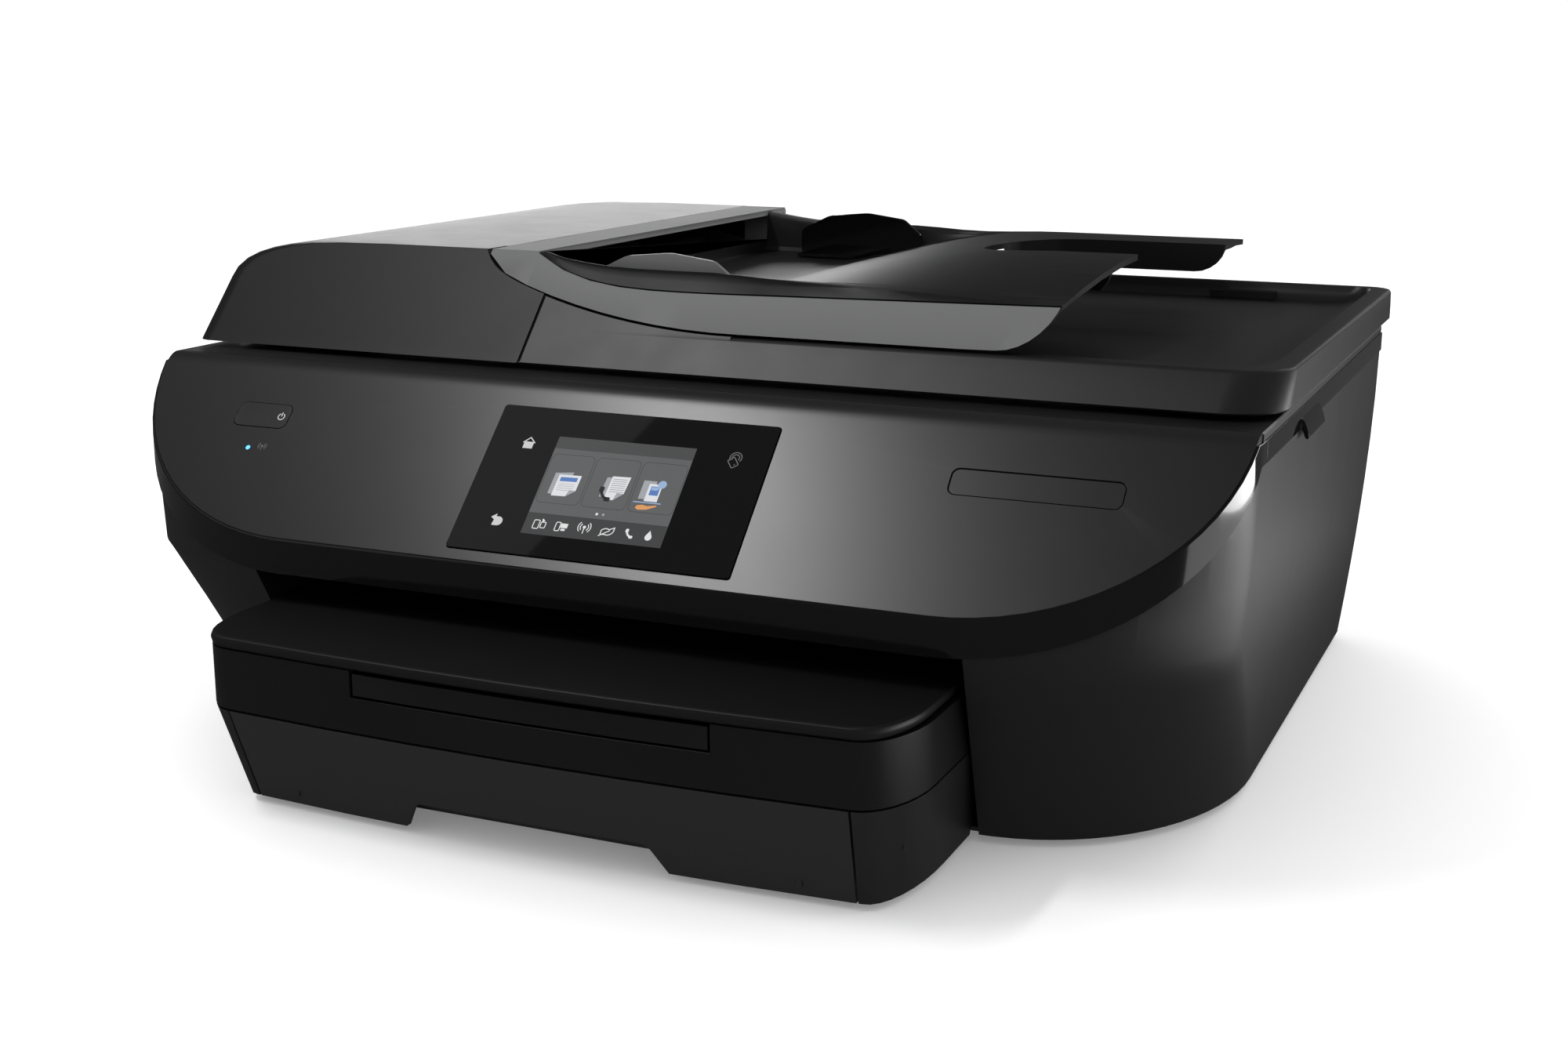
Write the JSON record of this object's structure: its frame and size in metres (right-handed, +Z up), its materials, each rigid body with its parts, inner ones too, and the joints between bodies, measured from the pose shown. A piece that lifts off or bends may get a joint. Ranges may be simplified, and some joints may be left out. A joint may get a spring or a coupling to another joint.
{
  "type": "inkjet_printer",
  "caption": "All-in-one inkjet printer: front paper trays, tilted touch panel, flatbed scanner and a sheet feeder on the lid.",
  "frame": {"origin": "Middle of the footprint on the table; the row frame is in metres", "axes": "+X to the right side seen from the front, +Y to the back, +Z up"},
  "size_m": [0.456, 0.412, 0.1939],
  "materials": {
    "black_plastic": "moulded plastic with a fine satin grain",
    "satin_plastic": "fine-grained satin plastic",
    "dark_plastic": "plain moulded plastic of the mechanism",
    "gloss_black": "polished black",
    "screen_glass": "black cover glass over the display",
    "clear_glass": "clear float glass",
    "grey_plastic": "light grey satin plastic",
    "guide_plastic": "smooth grey plastic",
    "white_plastic": "natural acetal",
    "white_foam": "white film over foam",
    "cartridge_plastic": "moulded plastic",
    "circuit_board": "solder mask over laminate",
    "zinc_steel": "zinc-plated sheet steel",
    "bright_steel": "ground steel rod",
    "rubber": "soft matt rubber",
    "belt_rubber": "toothed belt",
    "roller_rubber": "ground rubber",
    "clear_film": "clear film"
  },
  "bodies": {
    "housing": {"lower_housing": "black_plastic", "base_pan": "black_plastic", "tray_bay_left": "black_plastic", "tray_bay_right": "black_plastic", "output_tray": "black_plastic", "rubber_feet": "rubber", "rear_cover": "black_plastic", "power_inlet": "black_plastic", "rear_ports": "dark_plastic", "main_board": "circuit_board", "mechanism_deck": "dark_plastic", "carriage_rail": "zinc_steel", "carriage_rod": "bright_steel", "platen": "dark_plastic", "service_station": "dark_plastic", "carriage_belt": "belt_rubber", "encoder_strip": "clear_film", "drive_motors": "zinc_steel", "hinge_brackets": "zinc_steel"},
    "motor_pulley_spinner": {"motor_pulley": "white_plastic"},
    "idler_pulley_spinner": {"idler_pulley": "white_plastic"},
    "feed_roller_shaft": {"feed_roller": "bright_steel"},
    "idler_gear_wheel": {"idler_gear": "white_plastic"},
    "exit_roller_shaft": {"exit_roller": "dark_plastic"},
    "motor_pinion_wheel": {"motor_pinion": "white_plastic"},
    "ink_carriage": {"carriage": "dark_plastic", "black_cartridge": "cartridge_plastic", "colour_cartridge": "cartridge_plastic"},
    "paper_tray": {"main_tray": "black_plastic", "main_tray_front": "black_plastic"},
    "left_width_guide": {"width_guide_left": "dark_plastic"},
    "right_width_guide": {"width_guide_right": "dark_plastic"},
    "tray_length_guide": {"length_guide": "dark_plastic"},
    "small_tray": {"photo_tray": "black_plastic"},
    "left_photo_guide": {"photo_guide_left": "dark_plastic"},
    "right_photo_guide": {"photo_guide_right": "dark_plastic"},
    "extender": {"tray_extender": "black_plastic"},
    "extender_flap": {"extender_stop": "black_plastic"},
    "scanner_unit": {"scanner_base": "black_plastic", "scanner_top": "black_plastic", "scanner_glass": "clear_glass", "scan_rod": "bright_steel", "control_panel": "satin_plastic", "gloss_band": "gloss_black", "side_trim_left": "gloss_black", "side_trim_right": "gloss_black", "touch_glass": "screen_glass", "lid_hinges": "black_plastic"},
    "sensor_bar": {"scan_bar": "dark_plastic"},
    "power_key": {"power_button": "satin_plastic"},
    "lid": {"lid_shell": "black_plastic", "lid_backing": "white_foam", "feeder_base": "dark_plastic", "feeder_tray": "black_plastic", "feeder_accent": "grey_plastic"},
    "front_feeder_guide": {"feeder_guide_front": "guide_plastic"},
    "back_feeder_guide": {"feeder_guide_back": "guide_plastic"},
    "pick_roller_shaft": {"feeder_pick_roller": "roller_rubber"},
    "drum_shaft": {"feeder_drum": "roller_rubber"},
    "feeder_door": {"feeder_cover": "black_plastic"}
  },
  "joints": [
    {"name": "scanner_hinge", "type": "hinge", "parent": "housing", "child": "scanner_unit", "pos_m": [0, 0.196, 0.142], "axis": [-1, 0, 0], "range_deg": [0, 30]},
    {"name": "lid_hinge", "type": "hinge", "parent": "scanner_unit", "child": "lid", "pos_m": [0, 0.2, 0.157], "axis": [-1, 0, 0], "range_deg": [0, 80]},
    {"name": "feeder_cover_hinge", "type": "hinge", "parent": "lid", "child": "feeder_door", "pos_m": [-0.224, 0, 0.162], "axis": [0, -1, 0], "range_deg": [0, 65]},
    {"name": "carriage_slide", "type": "slide", "parent": "housing", "child": "ink_carriage", "axis": [-1, 0, 0], "range_m": [0, 0.284]},
    {"name": "motor_pulley_spin", "type": "hinge", "parent": "housing", "child": "motor_pulley_spinner", "pos_m": [0.19, 0.057, 0.104], "axis": [0, 1, 0], "continuous": true},
    {"name": "idler_pulley_spin", "type": "hinge", "parent": "housing", "child": "idler_pulley_spinner", "pos_m": [-0.19, 0.057, 0.104], "axis": [0, 1, 0], "continuous": true},
    {"name": "feed_roller_spin", "type": "hinge", "parent": "housing", "child": "feed_roller_shaft", "pos_m": [0, 0.034, 0.072], "axis": [1, 0, 0], "continuous": true},
    {"name": "idler_gear_spin", "type": "hinge", "parent": "housing", "child": "idler_gear_wheel", "pos_m": [-0.1595, -0.009, 0.072], "axis": [1, 0, 0], "continuous": true},
    {"name": "exit_roller_spin", "type": "hinge", "parent": "housing", "child": "exit_roller_shaft", "pos_m": [0, -0.052, 0.072], "axis": [1, 0, 0], "continuous": true},
    {"name": "motor_pinion_spin", "type": "hinge", "parent": "housing", "child": "motor_pinion_wheel", "pos_m": [-0.1595, 0.05827, 0.05437], "axis": [1, 0, 0], "continuous": true},
    {"name": "main_tray_slide", "type": "slide", "parent": "housing", "child": "paper_tray", "axis": [0, -1, 0], "range_m": [0, 0.19]},
    {"name": "left_width_guide_slide", "type": "slide", "parent": "paper_tray", "child": "left_width_guide", "axis": [1, 0, 0], "range_m": [0, 0.055]},
    {"name": "right_width_guide_slide", "type": "slide", "parent": "paper_tray", "child": "right_width_guide", "axis": [-1, 0, 0], "range_m": [0, 0.055]},
    {"name": "length_guide_slide", "type": "slide", "parent": "paper_tray", "child": "tray_length_guide", "axis": [0, -1, 0], "range_m": [0, 0.12]},
    {"name": "photo_tray_slide", "type": "slide", "parent": "housing", "child": "small_tray", "axis": [0, -1, 0], "range_m": [0, 0.12]},
    {"name": "left_photo_guide_slide", "type": "slide", "parent": "small_tray", "child": "left_photo_guide", "axis": [1, 0, 0], "range_m": [0, 0.055]},
    {"name": "right_photo_guide_slide", "type": "slide", "parent": "small_tray", "child": "right_photo_guide", "axis": [-1, 0, 0], "range_m": [0, 0.055]},
    {"name": "extender_slide", "type": "slide", "parent": "housing", "child": "extender", "axis": [0, -1, 0], "range_m": [0, 0.19]},
    {"name": "extender_flap_hinge", "type": "hinge", "parent": "extender", "child": "extender_flap", "pos_m": [0.0045, -0.176, 0.0596], "axis": [-1, 0, 0], "range_deg": [0, 75]},
    {"name": "power_button_press", "type": "slide", "parent": "scanner_unit", "child": "power_key", "axis": [0, 0.7071, -0.7071], "range_m": [0, 0.001], "stiffness_N_per_m": 400},
    {"name": "scan_bar_slide", "type": "slide", "parent": "scanner_unit", "child": "sensor_bar", "axis": [1, 0, 0], "range_m": [0, 0.3]},
    {"name": "front_feeder_guide_slide", "type": "slide", "parent": "lid", "child": "front_feeder_guide", "axis": [0, 1, 0], "range_m": [0, 0.065]},
    {"name": "back_feeder_guide_slide", "type": "slide", "parent": "lid", "child": "back_feeder_guide", "axis": [0, -1, 0], "range_m": [0, 0.065]},
    {"name": "feeder_drum_spin", "type": "hinge", "parent": "lid", "child": "drum_shaft", "pos_m": [-0.168, 0, 0.173], "axis": [0, 1, 0], "continuous": true},
    {"name": "feeder_pick_roller_spin", "type": "hinge", "parent": "lid", "child": "pick_roller_shaft", "pos_m": [-0.112, 0, 0.177], "axis": [0, 1, 0], "continuous": true}
  ],
  "couplings": [
    {"joint": "motor_pulley_spin", "follows": "carriage_slide", "rad_per_m": -166.67},
    {"joint": "idler_pulley_spin", "follows": "carriage_slide", "rad_per_m": -166.67},
    {"joint": "idler_gear_spin", "follows": "feed_roller_spin", "ratio": -0.86957},
    {"joint": "exit_roller_spin", "follows": "feed_roller_spin", "ratio": 1},
    {"joint": "motor_pinion_spin", "follows": "feed_roller_spin", "ratio": -2},
    {"joint": "right_width_guide_slide", "follows": "left_width_guide_slide", "ratio": 1},
    {"joint": "right_photo_guide_slide", "follows": "left_photo_guide_slide", "ratio": 1},
    {"joint": "extender_flap_hinge", "follows": "extender_slide", "rad_per_m": 6.889},
    {"joint": "back_feeder_guide_slide", "follows": "front_feeder_guide_slide", "ratio": 1},
    {"joint": "feeder_pick_roller_spin", "follows": "feeder_drum_spin", "ratio": 1}
  ]
}
